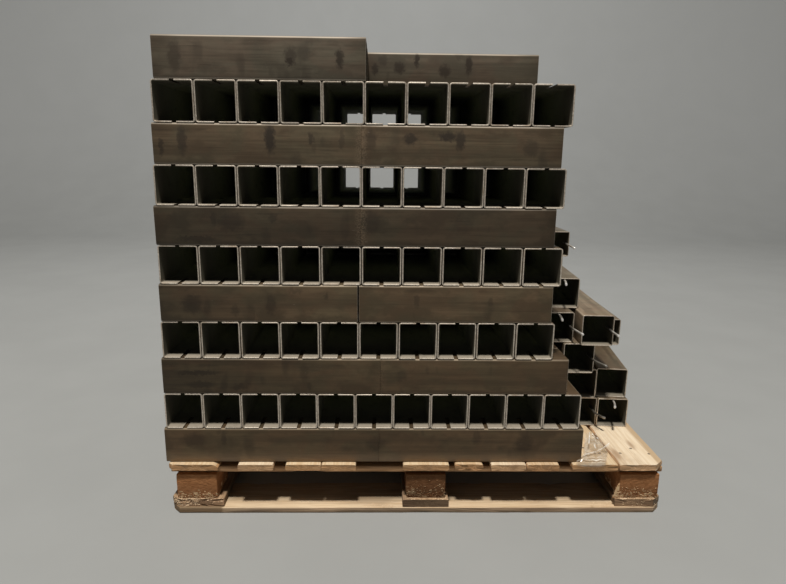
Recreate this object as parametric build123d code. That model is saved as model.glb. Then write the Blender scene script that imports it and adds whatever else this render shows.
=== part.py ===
from build123d import *
import os

# A pallet load of short square steel tubes: eleven layers laid crosswise, and beside them, at the back right
# corner of the pallet, a loose pile of a slightly smaller tube.
# Frame: origin on the floor under the middle of the pallet, +X to the right along the front,
# +Y from the front to the back, +Z up. All sizes are in millimetres.

# Pallet: widths of the deck boards and the gaps between them, from left to right
DECK_WIDTHS = [109.0, 78.0, 78.0, 76.0, 102.0, 63.0, 78.0, 72.0, 102.0, 104.0]
DECK_GAPS = [43.0, 26.0, 1.0, 103.0, 13.0, 17.0, 1.5, 29.5, 4.0]
PALLET_X = sum(DECK_WIDTHS) + sum(DECK_GAPS)
PALLET_Y = 1100.0
FLOOR_BOARD_T = 14.0
BASE_BOARD_T = 18.0
BLOCK_H = 57.0
STRINGER_T = 14.0
DECK_T = 14.0
FLOOR_BOARD_W = 104.0
BASE_WIDTHS = {"left": 118.0, "middle": 104.0, "right": 108.0}
MIDDLE_SHIFT = 16.0
BLOCK_X = 90.0
BLOCK_Y = 90.0
STRINGER_W = 95.0
BLOCK_SET_BACK = 8.0
STRINGER_SET_BACK = 20.0

# How much of a corner is sawn off: boards below the deck, first deck board, last deck board
LOWER_CUT = 20.0
FIRST_CUT = 11.0
LAST_CUT = 24.0
DECK_Z = FLOOR_BOARD_T + BASE_BOARD_T + BLOCK_H + STRINGER_T + DECK_T

# Tubes of the stack
TUBE = 80.0
WALL = 2.7
CORNER = 3.6
SLOT_W = 9.0
SLOT_L = 52.0

# Stack: its front left lower corner on the deck, and how many tubes lie side by side in a layer.
# Two tubes end to end are about as long as that many tubes are wide, so that the layers can cross.
STACK_INSET_X = 20.0
STACK_INSET_Y = 13.0
PILE_ROOM = 230.0
END_GAP = 2.0
ROW_GAP = 1.6
ACROSS = int((PALLET_X - STACK_INSET_X - PILE_ROOM) / (TUBE + END_GAP))
HALF_SPAN = ACROSS * TUBE / 2
STACK_X = -PALLET_X / 2 + STACK_INSET_X
STACK_Y = -PALLET_Y / 2 + STACK_INSET_Y
LONG_OVER = 5.0
LONG = HALF_SPAN + LONG_OVER
ROW_PITCH = TUBE + ROW_GAP

# Layers whose tubes run along Y, so that their open ends show at the front:
# layer number, left side of the first tube, gap between tubes, tubes more than ACROSS
END_LAYERS = {
    2: (-20.0, 2.0, 1),
    4: (-15.0, 2.8, 0),
    6: (-10.0, 2.9, 0),
    8: (-6.0, 2.0, 0),
    10: (1.0, 1.8, 0),
}

# Layers whose tubes run along X: layer number, then runs of rows as
# first row, last row from the back, left side, and what the left and right tubes have over HALF_SPAN
LAST = -1
SIDE_LAYERS = {
    1: [(0, LAST, -26.0, 66.0, 50.0)],
    3: [(0, 1, -20.0, 63.0, 2.0), (2, LAST, -20.0, 40.0, 2.0)],
    5: [(0, LAST, -14.0, 9.0, 5.0)],
    7: [(0, LAST, -12.0, 13.0, -5.0)],
    9: [(0, LAST, -4.0, 6.0, -3.0)],
    11: [(0, 1, 7.0, 6.0, None), (2, LAST, -9.0, 6.0, -15.0)],
}

# Loose pile: its own tube, and where its front ends begin, just behind the two longer rows of layer 3
PILE_TUBE = 75.0
PILE_CORNER = 3.4
PILE_LONG = 405.0
PILE_FRONT = 2 * ROW_PITCH

# Front tubes of the pile: level, layer of the stack or tube of the pile on its left, gap to that,
# front end behind PILE_FRONT, turn in degrees (clockwise seen from above)
PILE_FRONT_SET = {
    "low_inner": (0, "layer 1", 22.0, 24.0, 0.0),
    "low_outer": (0, "low_inner", 1.0, 19.0, 3.0),
    "second_inner": (1, "layer 1", 16.0, 24.0, 0.0),
    "second_outer": (1, "second_inner", 3.0, 35.0, 8.0),
    "third_inner": (2, "layer 2", 7.0, -1.0, 1.0),
    "third_outer": (2, "third_inner", 78.0, 227.0, 2.0),
    "fourth_inner": (3, "layer 3", 11.0, 9.0, 0.0),
    "fourth_outer": (3, "fourth_inner", 12.0, -16.0, 3.0),
    "fifth": (4, "layer 4", 46.0, 56.0, 4.0),
    "top": (5, "layer 6", 114.0, 388.0, 0.0),
}

# Hidden tubes of the pile: the front tube that each one continues, shift to the right, gap behind that tube
PILE_REAR_SET = {
    "rear_low_inner": ("low_inner", 4.0, 14.0),
    "rear_low_outer": ("low_outer", 14.0, 13.0),
    "rear_second_inner": ("second_inner", 2.0, 6.0),
    "rear_second_outer": ("second_outer", 14.0, 14.0),
    "rear_third_inner": ("third_inner", 5.0, 8.0),
    "rear_fourth_inner": ("fourth_inner", 11.0, 12.0),
    "rear_fourth_outer": ("fourth_outer", 4.0, 18.0),
    "rear_fifth": ("fifth", 49.0, 16.0),
}

# Rods that stand out of tube ends: tube of the pile, wall that the rod lies on, length outside
ROD_D = 6.0
ROD_IN = 40.0
ROD_CLEAR = 0.1
ROD_SIDES = 6
RODS = [
    ("top", "right", 40.0),
    ("fifth", "top", 45.0),
    ("fourth_inner", "top", 45.0),
    ("fourth_inner", "right", 60.0),
    ("fourth_outer", "right", 45.0),
    ("third_inner", "right", 60.0),
    ("low_outer", "top", 55.0),
    ("low_inner", "right", 60.0),
]

# Scrap of stretch film on the deck, against the right end of layer 1
FILM_X = 84.0
FILM_Y = 178.0
FILM_Z = 46.0
FILM_CREST_X = (3.0, 34.0)
FILM_CREST_Y = (52.0, 138.0)
FILM_INSET_Y = 2.0
FILM_CLEAR = 1.0


def box(x0, x1, y0, y1, z0, z1):
    return Pos((x0 + x1) / 2, (y0 + y1) / 2, (z0 + z1) / 2) * Box(x1 - x0, y1 - y0, z1 - z0)


def square_section(side, corner):
    """Section of a square tube, with its outer corners eased and a square bore."""
    outline = chamfer(Rectangle(side, side).vertices(), corner)
    bore = side - 2 * WALL
    return outline - Rectangle(bore, bore)


def tube_along_y(side, corner, length):
    """Tube with its front end at Y = 0, its left side at X = 0 and its underside at Z = 0."""
    profile = Plane.XZ * square_section(side, corner)
    return Pos(side / 2, 0, side / 2) * extrude(profile, -length)


def tube_along_x(side, corner, length):
    """Tube with its left end at X = 0, its front side at Y = 0 and its underside at Z = 0."""
    profile = Plane.YZ * square_section(side, corner)
    return Pos(0, side / 2, side / 2) * extrude(profile, length)


def slotted(tube, y_end, inward):
    """The tube with a slot through its top and bottom walls, open at the end y_end."""
    start, stop = sorted((y_end, y_end + inward * SLOT_L))
    cutter = box((TUBE - SLOT_W) / 2, (TUBE + SLOT_W) / 2, start, stop, -TUBE, 2 * TUBE)
    return tube - cutter


def one(shape):
    return shape.solids()[0]


def save(name, solids):
    shape = solids[0] if len(solids) == 1 else Compound(children=solids)
    export_step(shape, f"parts/{name}.step")
    print(name, len(solids), "solids", round(sum(s.volume for s in solids) / 1000), "cm3")


os.makedirs("parts", exist_ok=True)

# How far each layer reaches to the right of the stack's corner, for the pile that stands beside it
right_end = {}

# Layers of tubes that run along Y: two end to end in each column, slotted at their outer ends
plain = tube_along_y(TUBE, CORNER, LONG)
front_tube = one(slotted(plain, 0.0, 1))
back_tube = one(slotted(plain, LONG, -1))
for layer, (offset, gap, extra) in END_LAYERS.items():
    z = DECK_Z + (layer - 1) * TUBE
    columns = ACROSS + extra
    solids = []
    for column in range(columns):
        x = STACK_X + offset + column * (TUBE + gap)
        solids.append(Pos(x, STACK_Y, z) * front_tube)
        solids.append(Pos(x, STACK_Y + LONG + END_GAP, z) * back_tube)
    right_end[f"layer {layer}"] = offset + columns * (TUBE + gap) - gap
    save(f"tube_layer_{layer:02d}", solids)

# Layers of tubes that run along X, two end to end in each row
for layer, runs in SIDE_LAYERS.items():
    z = DECK_Z + (layer - 1) * TUBE
    solids = []
    for first, last, offset, left_over, right_over in runs:
        stop = ACROSS if last == LAST else last + 1
        left_tube = one(tube_along_x(TUBE, CORNER, HALF_SPAN + left_over))
        reach = offset + HALF_SPAN + left_over
        for row in range(first, stop):
            solids.append(Pos(STACK_X + offset, STACK_Y + row * ROW_PITCH, z) * left_tube)
        if right_over is None:
            continue
        right_tube = one(tube_along_x(TUBE, CORNER, HALF_SPAN + right_over))
        joint = reach + END_GAP
        reach = joint + HALF_SPAN + right_over
        for row in range(first, stop):
            solids.append(Pos(STACK_X + joint, STACK_Y + row * ROW_PITCH, z) * right_tube)
    right_end[f"layer {layer}"] = reach
    save(f"tube_layer_{layer:02d}", solids)

# The loose pile: place of each tube, as X and Y from the stack's corner, level and turn
pile = {}
for name, (level, beside, gap, behind, turn) in PILE_FRONT_SET.items():
    left_side = right_end[beside] if beside in right_end else pile[beside][0] + PILE_TUBE
    pile[name] = (left_side + gap, PILE_FRONT + behind, level, turn)
for name, (ahead, shift, gap) in PILE_REAR_SET.items():
    x, y, level, turn = pile[ahead]
    pile[name] = (x + shift, y + PILE_LONG + gap, level, 0.0)


def pile_place(name):
    x, y, level, turn = pile[name]
    return Pos(STACK_X + x, STACK_Y + y, DECK_Z + level * PILE_TUBE) * Rot(0, 0, -turn)


pile_tube = one(tube_along_y(PILE_TUBE, PILE_CORNER, PILE_LONG))
for name in pile:
    save(f"pile_tube_{name}", [pile_place(name) * pile_tube])

# Rods: each lies on the inside of its tube's wall, at the wall's middle, and stands out of the front end
rods = []
for name, wall, outside in RODS:
    rod = Plane.XZ * extrude(RegularPolygon(ROD_D / 2, ROD_SIDES), ROD_IN + outside)
    middle = PILE_TUBE / 2
    against = PILE_TUBE - WALL - ROD_D / 2 - ROD_CLEAR
    x, z = (against, middle) if wall == "right" else (middle, against)
    rods.append(one(pile_place(name) * Pos(x, ROD_IN, z) * rod))
save("end_rods", rods)


# Scrap of film: one lump, highest near the tubes, sloping to its front, back and right
def film_view(base, crest):
    """Outline of the lump from one side: its foot from 0 to base, its flat top between the two crest values."""
    return make_face(Polyline((0, 0), (base, 0), (crest[1], FILM_Z), (crest[0], FILM_Z), close=True))


end_view = film_view(FILM_X, FILM_CREST_X)
side_view = film_view(FILM_Y, FILM_CREST_Y)
film = extrude(Plane.XZ * end_view, -FILM_Y) & extrude(Plane.YZ * side_view, FILM_X)
film_x = STACK_X + right_end["layer 1"] + FILM_CLEAR
save("film_scrap", [one(Pos(film_x, -PALLET_Y / 2 + FILM_INSET_Y, DECK_Z) * film)])


def board(x0, x1, y0, y1, z0, thickness, cut=None):
    """A board; cut gives the axis and side where its two upright corners are sawn off, and how much."""
    plank = box(x0, x1, y0, y1, z0, z0 + thickness)
    if cut:
        axis, side, size = cut
        plank = chamfer(plank.edges().filter_by(Axis.Z).group_by(axis)[side], size)
    return one(plank)


# Pallet, from the floor up: floor boards along X, base boards along Y, blocks, stringers along X, deck
right = PALLET_X / 2
back = PALLET_Y / 2
half_w = FLOOR_BOARD_W / 2
half_base = {side: width / 2 for side, width in BASE_WIDTHS.items()}
rows_y = {"front": half_w - back, "middle": 0.0, "back": back - half_w}
rows_x = {"left": half_base["left"] - right, "middle": MIDDLE_SHIFT, "right": right - half_base["right"]}
cut_y = {"front": (Axis.Y, 0, LOWER_CUT), "back": (Axis.Y, -1, LOWER_CUT)}
cut_x = {"left": (Axis.X, 0, LOWER_CUT), "right": (Axis.X, -1, LOWER_CUT)}
deck_cut = {1: (Axis.X, 0, FIRST_CUT), len(DECK_WIDTHS): (Axis.X, -1, LAST_CUT)}

z = 0.0
for side, y in rows_y.items():
    floor_board = board(-right, right, y - half_w, y + half_w, z, FLOOR_BOARD_T, cut_y.get(side))
    save(f"pallet_floor_board_{side}", [floor_board])
z += FLOOR_BOARD_T
for side, x in rows_x.items():
    half = half_base[side]
    base_board = board(x - half, x + half, -back, back, z, BASE_BOARD_T, cut_x.get(side))
    save(f"pallet_base_board_{side}", [base_board])
z += BASE_BOARD_T
blocks = []
for side_y in (-1, 0, 1):
    y = side_y * (back - BLOCK_SET_BACK - BLOCK_Y / 2)
    for x in rows_x.values():
        blocks.append(board(x - BLOCK_X / 2, x + BLOCK_X / 2, y - BLOCK_Y / 2, y + BLOCK_Y / 2, z, BLOCK_H))
save("pallet_blocks", blocks)
z += BLOCK_H
for side, side_y in (("front", -1), ("middle", 0), ("back", 1)):
    y = side_y * (back - STRINGER_SET_BACK - STRINGER_W / 2)
    stringer = board(-right, right, y - STRINGER_W / 2, y + STRINGER_W / 2, z, STRINGER_T)
    save(f"pallet_stringer_{side}", [stringer])
z += STRINGER_T
x = -right
for number, width in enumerate(DECK_WIDTHS, start=1):
    deck_board = board(x, x + width, -back, back, z, DECK_T, deck_cut.get(number))
    save(f"pallet_deck_board_{number:02d}", [deck_board])
    if number <= len(DECK_GAPS):
        x += width + DECK_GAPS[number - 1]
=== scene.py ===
import math
import random

import bmesh
import bpy
from mathutils import Matrix, Vector, noise
from mathutils.bvhtree import BVHTree


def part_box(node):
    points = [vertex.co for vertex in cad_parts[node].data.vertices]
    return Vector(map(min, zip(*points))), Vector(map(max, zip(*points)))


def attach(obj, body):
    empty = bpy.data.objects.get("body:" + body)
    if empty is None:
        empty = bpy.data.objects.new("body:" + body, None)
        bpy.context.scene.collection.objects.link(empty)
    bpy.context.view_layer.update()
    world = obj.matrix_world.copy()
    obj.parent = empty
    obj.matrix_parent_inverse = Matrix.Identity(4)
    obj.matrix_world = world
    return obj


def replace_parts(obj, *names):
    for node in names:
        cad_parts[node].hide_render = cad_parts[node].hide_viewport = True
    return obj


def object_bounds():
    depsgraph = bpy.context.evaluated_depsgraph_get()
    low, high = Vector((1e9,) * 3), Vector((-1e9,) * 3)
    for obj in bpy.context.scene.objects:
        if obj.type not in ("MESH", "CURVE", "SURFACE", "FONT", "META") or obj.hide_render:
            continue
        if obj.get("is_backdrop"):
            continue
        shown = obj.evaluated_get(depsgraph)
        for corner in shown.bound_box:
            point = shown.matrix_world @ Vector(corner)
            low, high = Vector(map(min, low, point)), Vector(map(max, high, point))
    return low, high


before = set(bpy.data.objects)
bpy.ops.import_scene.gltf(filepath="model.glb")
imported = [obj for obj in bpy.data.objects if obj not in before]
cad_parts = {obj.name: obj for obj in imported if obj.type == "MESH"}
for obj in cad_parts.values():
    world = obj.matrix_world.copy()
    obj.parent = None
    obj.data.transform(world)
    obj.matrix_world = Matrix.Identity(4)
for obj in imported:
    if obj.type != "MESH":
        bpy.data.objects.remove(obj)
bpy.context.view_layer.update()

# Pallet floor boards
# Three sawn softwood boards that lie on the ground from left to right and carry the pallet. Their outer
# corners are sawn off. The outer two are pale on top and all are brown. Painted shade darkens their long
# sides, their left ends, their tops where the deck covers them, and the whole top of the middle one.

LOWER_CUT = 0.020
ARRIS = 0.0014
ARRIS_WEAR = 0.0006
STATION_STEP = 0.026
SECTION_STEP = 0.011
FIRST_STATION = 0.0012
CHIP_REACH = (0.012, 0.035)
RAGGED_DEEP = 0.011
SAW_ROUGH = 0.0007
END_HOLLOW = 0.0004
END_ROUGH = 0.0006
END_RING_SHARE = 0.55
SHADED_END_X = -0.428
SHADED_END_FADE = 0.004


def feed(tree, socket, value):
    """Gives a socket another node's output, a number, a vector, or a colour as three numbers."""
    if isinstance(value, bpy.types.NodeSocket):
        tree.links.new(value, socket)
    elif socket.type == "RGBA":
        socket.default_value = (*value, 1.0)
    else:
        socket.default_value = value


def add_node(tree, kind, given=(), **settings):
    """A shader node with its settings, and with what is given to its inputs by name or number."""
    node = tree.nodes.new("ShaderNode" + kind)
    for label, value in settings.items():
        setattr(node, label, value)
    for key, value in dict(given).items():
        feed(tree, node.inputs[key], value)
    return node


def calc(tree, operation, *terms):
    return add_node(tree, "Math", enumerate(terms), operation=operation).outputs[0]


def mixed(tree, mask, first, second, blend="MIX"):
    """Colour mix; a mask of 0 gives the first colour."""
    given = {0: mask, 6: first, 7: second}
    return add_node(tree, "Mix", given, data_type="RGBA", blend_type=blend).outputs[2]


def ramp_mask(tree, value, start, end, top=1.0):
    """A soft step of a value, from 0 at start to top at end, which may be the lower of the two."""
    given = {"Value": value, "From Min": start, "From Max": end, "To Min": 0.0, "To Max": top}
    return add_node(tree, "MapRange", given, interpolation_type="SMOOTHSTEP").outputs["Result"]


def scaled(tree, coord, scale):
    return add_node(tree, "Mapping", {"Vector": coord, "Scale": scale}).outputs["Vector"]


def stretched_noise(tree, coord, scale, detail=4.0, rough=0.55, distortion=0.0):
    """Noise from 0 to 1 whose cells are scaled along each direction of the piece."""
    given = {"Vector": scaled(tree, coord, scale), "Scale": 1.0, "Detail": detail, "Roughness": rough}
    return add_node(tree, "TexNoise", given | {"Distortion": distortion}).outputs["Fac"]


def cells(tree, coord):
    return add_node(tree, "TexVoronoi", {"Vector": coord, "Scale": 1.0}).outputs


def stored(tree, name, output="Fac"):
    """A value that the mesh carries at its points, or a vector with the output named Vector."""
    return add_node(tree, "Attribute", attribute_name=name).outputs[output]


def object_coord(tree):
    return add_node(tree, "TexCoord").outputs["Object"]


def parts_of(tree, vector):
    """A vector's X, Y and Z."""
    return add_node(tree, "SeparateXYZ", {"Vector": vector}).outputs


def shader_group(name, vectors, colors, numbers, outputs=("Color", "Roughness", "Height")):
    """An empty shader node group with named inputs and outputs, of which only Color is a colour."""
    group = bpy.data.node_groups.new(name, "ShaderNodeTree")
    for kind, labels in (("Vector", vectors), ("Color", colors), ("Float", numbers)):
        for label in labels:
            group.interface.new_socket(label, in_out="INPUT", socket_type="NodeSocket" + kind)
    for label in outputs:
        kind = "Color" if label == "Color" else "Float"
        group.interface.new_socket(label, in_out="OUTPUT", socket_type="NodeSocket" + kind)
    return group, group.nodes.new("NodeGroupInput").outputs, group.nodes.new("NodeGroupOutput").inputs


def place_group(tree, group, given):
    return add_node(tree, "Group", given, node_tree=group).outputs


def new_material(name, metallic, roughness, specular=0.5):
    """A material with one Principled shader, whose constant values are set on its own sockets."""
    material = bpy.data.materials.new(name)
    material.use_nodes = True
    tree = material.node_tree
    shader = tree.nodes["Principled BSDF"]
    feed(tree, shader.inputs["Metallic"], metallic)
    feed(tree, shader.inputs["Roughness"], roughness)
    feed(tree, shader.inputs["Specular IOR Level"], specular)
    return material, tree, shader


def finish_material(tree, shader, color, height, strength, distance, rough=None):
    """Joins a colour, fine relief from a height, and where given a roughness to a surface's shader."""
    feed(tree, shader.inputs["Base Color"], color)
    if rough is not None:
        feed(tree, shader.inputs["Roughness"], rough)
    bump = add_node(tree, "Bump", {"Height": height, "Strength": strength, "Distance": distance})
    feed(tree, shader.inputs["Normal"], bump.outputs["Normal"])


def board_grain_group():
    """Sawn softwood: growth rings along the board, fibres, knots and stains."""
    group, given, out = shader_group("sawn_grain", ("Coord",), ("Pale", "Ring", "Stain"), ("Stain Amount",))
    coord = given["Coord"]
    bands = stretched_noise(group, coord, (1.6, 34.0, 34.0), 3.0, 0.5, 0.4)
    rings = calc(group, "PINGPONG", calc(group, "MULTIPLY", bands, 9.0), 0.5)
    fibres = stretched_noise(group, coord, (14.0, 520.0, 520.0), 3.0, 0.7)
    patches = stretched_noise(group, coord, (5.0, 16.0, 16.0), 5.0, 0.6)
    knots = cells(group, scaled(group, coord, (4.5, 15.0, 15.0)))["Distance"]
    color = mixed(group, ramp_mask(group, rings, 0.08, 0.42, 0.75), given["Ring"], given["Pale"])
    color = mixed(group, ramp_mask(group, fibres, 0.62, 0.30, 0.5), color, given["Ring"])
    stained = calc(group, "MULTIPLY", ramp_mask(group, patches, 0.46, 0.72), given["Stain Amount"])
    color = mixed(group, stained, color, given["Stain"])
    feed(group, out["Color"], mixed(group, ramp_mask(group, knots, 0.17, 0.05, 0.8), color, given["Stain"]))
    feed(group, out["Roughness"], calc(group, "MULTIPLY_ADD", fibres, 0.25, 0.62))
    feed(group, out["Height"], calc(group, "MULTIPLY_ADD", rings, 0.8, fibres))
    return group


sawn_grain = board_grain_group()


def wood_material(name, pale, ring, stain, stain_amount, bump=0.5, under_deck_shade=0.0, wear_and_shade_strip=None):
    """under_deck_shade is how much painted shade darkens the wood where the deck covers it, away from the
    pallet's front and back.
    wear_and_shade_strip is a strip of another colour: the x at which it starts and is full, how full, and
    the colour. It is painted shade on the floor boards' left ends and a worn strip on a deck board."""
    material, tree, shader = new_material(name, 0.0, 0.75, 0.3)
    grain = place_group(tree, sawn_grain, {
        "Coord": stored(tree, "board_coord", "Vector"), "Pale": pale, "Ring": ring, "Stain": stain,
        "Stain Amount": stain_amount,
    })
    color = grain["Color"]
    # A strip of another colour: painted shade on the floor boards, a worn strip on a deck board.
    if wear_and_shade_strip:
        start, full, share, tone = wear_and_shade_strip
        ragged = calc(tree, "MULTIPLY_ADD", grain["Height"], 0.010, parts_of(tree, object_coord(tree))["X"])
        color = mixed(tree, ramp_mask(tree, ragged, start, full, share), color, tone)
    # Painted shade: the wood is darkened where the deck covers it.
    if under_deck_shade:
        from_middle = calc(tree, "ABSOLUTE", parts_of(tree, object_coord(tree))["Y"])
        color = mixed(tree, ramp_mask(tree, from_middle, 0.535, 0.505, under_deck_shade), color, (0.030, 0.024, 0.015))
    finish_material(tree, shader, color, grain["Height"], bump, 0.0012, grain["Roughness"])
    return material


# Painted shade: the floor boards are darkened from the left base board out to their left ends.
shaded_left_end = (SHADED_END_X + SHADED_END_FADE, SHADED_END_X - SHADED_END_FADE, 0.85, (0.165, 0.105, 0.055))
floor_board_wood = wood_material(
    "floor_board_wood", (0.76, 0.60, 0.41), (0.58, 0.42, 0.26), (0.34, 0.24, 0.15), 0.6, 0.8, 0.6, shaded_left_end
)
# Painted shade: a darker copy of the floor board wood for the boards' long sides.
shaded_floor_board_side = wood_material(
    "shaded_floor_board_side", (0.40, 0.29, 0.19), (0.28, 0.19, 0.12), (0.15, 0.11, 0.08), 0.7, 0.8, 0.0, shaded_left_end
)
# Painted shade: a dark copy of the pallet wood for the middle floor board's top and the base boards' long
# sides.
shaded_inner_board_wood = wood_material(
    "shaded_inner_board_wood", (0.26, 0.18, 0.11), (0.18, 0.12, 0.07), (0.10, 0.07, 0.05), 0.6, 0.5, 0.6
)


def finish_mesh(name, points, faces, materials, stored_values, slots=None, smooth_angle=38.0):
    """A mesh object from lists, with its material slots, its stored values and its sharp edges marked."""
    mesh = bpy.data.meshes.new(name)
    mesh.from_pydata(points, [], faces)
    for material in materials:
        mesh.materials.append(material)
    if slots:
        mesh.polygons.foreach_set("material_index", slots)
    for label, values in stored_values.items():
        if isinstance(values[0], (int, float)):
            mesh.attributes.new(label, "FLOAT", "POINT").data.foreach_set("value", values)
        else:
            layer = mesh.attributes.new(label, "FLOAT_VECTOR", "POINT")
            layer.data.foreach_set("vector", [x for value in values for x in value])
    shape = bmesh.new()
    shape.from_mesh(mesh)
    bmesh.ops.recalc_face_normals(shape, faces=shape.faces)
    shape.to_mesh(mesh)
    shape.free()
    mesh.polygons.foreach_set("use_smooth", [True] * len(mesh.polygons))
    mesh.set_sharp_from_angle(angle=math.radians(smooth_angle))
    mesh.update()
    piece = bpy.data.objects.new(name, mesh)
    bpy.context.scene.collection.objects.link(piece)
    return piece


def ring_faces(base, rings, count):
    """Four-sided faces between rings of count points, which follow each other from base on."""
    starts = [base + k * count for k in range(rings - 1)]
    return [(start + i, start + (i + 1) % count, start + count + (i + 1) % count, start + count + i)
            for start in starts for i in range(count)]


def grain_start(draw, reach):
    """A random place in the grain, so that no two pieces show the same."""
    return Vector([draw.uniform(0, reach) for _ in range(3)])


def board_section(width, height):
    """Points round a sawn board's section, with small worn arrises: (across, up, nearness to an arris)."""
    half = width / 2
    steps = max(2, round(width / SECTION_STEP))
    row = [(half - ARRIS - (width - 2 * ARRIS) * k / steps, 1.0 if k in (0, steps) else 0.0)
           for k in range(steps + 1)]
    side = ((ARRIS, 1.0), (height / 2, 0.0), (height - ARRIS, 1.0))
    points = [(-across, 0.0, near) for across, near in row]
    points += [(half, up, near) for up, near in side]
    points += [(across, height, near) for across, near in row]
    return points + [(-half, up, near) for up, near in reversed(side)]


def make_board(node, along, corner_cut, materials, seed, broken=(0.0, 0.0), chip_count=7, chip_depth=0.004):
    """A rough sawn board in the CAD board's box, running along X or Y. corner_cut is how much the two corners
    of one side are sawn off, with that side's sign. materials are for its faces, its ends and its long sides.
    broken is how far the wood is broken away at its start and end, and chips are gone from its arrises."""
    low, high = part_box(node)
    draw = random.Random(seed)
    offset = grain_start(draw, 40)
    run = 0 if along == "X" else 1
    side = 1 - run
    length, width, height = high[run] - low[run], high[side] - low[side], high[2] - low[2]
    middle = (low[side] + high[side]) / 2
    section = board_section(width, height)
    near_end = max(abs(corner_cut), LOWER_CUT / 2)
    first = [0.0, FIRST_STATION, near_end * 0.3, near_end * 0.65, near_end]
    inner = max(2, round((length - 2 * near_end) / STATION_STEP))
    stations = first + [near_end + (length - 2 * near_end) * k / inner for k in range(1, inner)]
    stations += [length - s for s in reversed(first)]
    chips = [(draw.uniform(0, length), draw.choice((-1, 1)), draw.choice((0, 1)), draw.uniform(*CHIP_REACH),
              draw.uniform(0.3, 1.0) * chip_depth) for _ in range(chip_count)]
    points, coords = [], []
    for s in stations:
        to_end = min(s, length - s)
        at_start = s < length / 2
        cut = max(0.0, abs(corner_cut) - to_end)
        for across, up, arris in section:
            limit = width / 2 - (cut if across * corner_cut > 0 else 0.0)
            t = max(-limit, min(limit, across))
            spot = Vector((s * 30.0, across * 90.0, up * 90.0)) + offset
            worn = arris * ARRIS_WEAR * (1.0 + noise.noise(spot))
            for centre, chip_side, level, reach, depth in chips:
                near = abs(s - centre) / reach
                if arris and near < 1 and across * chip_side > 0 and (up > height / 2) == bool(level):
                    worn += depth * (1 - near * near)
            t -= math.copysign(worn, across)
            u = up + (worn if up < height / 2 else -worn) * 0.7
            ragged = 0.0
            if to_end < RAGGED_DEEP:
                grain = noise.noise(Vector((across * 160.0, up * 260.0, s * 4.0)) + offset)
                deep = SAW_ROUGH + broken[0 if at_start else 1]
                ragged = deep * (1 - to_end / RAGGED_DEEP) * (0.5 + 0.5 * grain)
            pushed = s + (ragged if at_start else -ragged)
            point = [0.0, 0.0, low.z + u]
            point[run] = low[run] + pushed
            point[side] = middle + t
            points.append(tuple(point))
            coords.append(tuple(Vector((pushed, t, u)) + offset))
    count = len(section)
    faces = ring_faces(0, len(stations), count)
    on_side = [abs(section[i][0]) == width / 2 == abs(section[(i + 1) % count][0]) for i in range(count)]
    slots = [2 if beside else 0 for beside in on_side] * (len(stations) - 1)
    for base, sign in ((0, 1.0), ((len(stations) - 1) * count, -1.0)):
        ring = [Vector(points[base + i]) for i in range(count)]
        centre = sum(ring, Vector()) / count
        start = len(points)
        for i, point in enumerate(ring):
            inward = centre + (point - centre) * END_RING_SHARE
            inward[run] += sign * (END_HOLLOW + END_ROUGH * noise.noise(Vector((i * 1.7, seed * 0.37, sign))))
            points.append(tuple(inward))
            coords.append(tuple(Vector(coords[base + i]) + Vector((0.0, 0.0, 0.003))))
        for i in range(count):
            j = (i + 1) % count
            faces.append((base + i, base + j, start + j, start + i))
        faces.append(tuple(range(start, start + count)))
        slots += [1] * (count + 1)
    piece = finish_mesh(node + "_wood", points, faces, materials, {"board_coord": coords}, slots)
    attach(piece, "root")
    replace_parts(piece, node)
    return piece


floor_boards = {}
for seed, (place, cut) in enumerate((("front", -LOWER_CUT), ("middle", 0.0), ("back", LOWER_CUT)), start=101):
    top_wood = shaded_inner_board_wood if place == "middle" else floor_board_wood
    woods = (top_wood, shaded_floor_board_side, shaded_floor_board_side)
    floor_boards[place] = make_board("pallet_floor_board_" + place, "X", cut, woods, seed, (0.002, 0.001), 16)

# Pallet base boards
# Three thicker sawn boards across the floor boards, from front to back, nailed to them from below. The front
# ends of the outer two are crushed into splinters, the left one's most, and the middle one is darker. Painted
# shade darkens their long sides and their tops where the deck covers them.

base_board_wood = wood_material(
    "base_board_wood", (0.46, 0.31, 0.18), (0.33, 0.21, 0.12), (0.18, 0.12, 0.08), 0.6, 0.6, 0.6
)
splinter_wood = wood_material(
    "splinter_wood", (0.84, 0.67, 0.47), (0.62, 0.44, 0.27), (0.26, 0.15, 0.08), 0.5, 0.6
)
SLIVER_FACES = ((0, 1, 2), (0, 2, 3), (0, 3, 1), (1, 3, 4), (3, 2, 4), (2, 1, 4))
SLIVER_POINTS = ((-1.0, 0.2, -0.3), (0.9, 0.1, -0.4), (0.1, 0.3, 0.9), (0.0, -0.9, 0.1), (0.4, 0.9, 0.3))
LEDGE_DEEP = 0.0085
SPLINTER_SIZES = ((0.0009, 0.0028), (0.0008, 0.0016), (0.0006, 0.0013))
LITTER_SIZES = ((0.0010, 0.0030), (0.0010, 0.0022), (0.0004, 0.0009))
FLOOR_LITTER = ((-0.125, -0.055, 45), (0.388, 0.436, 60))


def add_sliver(points, faces, spot, sizes, draw):
    """One small sharp-edged bit of wood about a spot, its size along X, Y and Z drawn from three ranges."""
    size = [draw.uniform(*span) for span in sizes]
    base = len(points)
    for corner in SLIVER_POINTS:
        part = [corner[k] + draw.uniform(-0.3, 0.3) for k in range(3)]
        points.append(tuple(spot[k] + part[k] * size[k] for k in range(3)))
    faces += [tuple(base + i for i in face) for face in SLIVER_FACES]


def surface_of(points, faces):
    """The surface of some faces, for landing."""
    return BVHTree.FromPolygons(points, faces)


def landing(surface, start, way):
    """Where a bit of wood comes to lie that starts at a point and goes the given way, or None."""
    return surface.ray_cast(Vector(start), Vector(way))[0]


def piece_surface(piece):
    return surface_of([point.co for point in piece.data.vertices],
                      [tuple(face.vertices) for face in piece.data.polygons])


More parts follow.
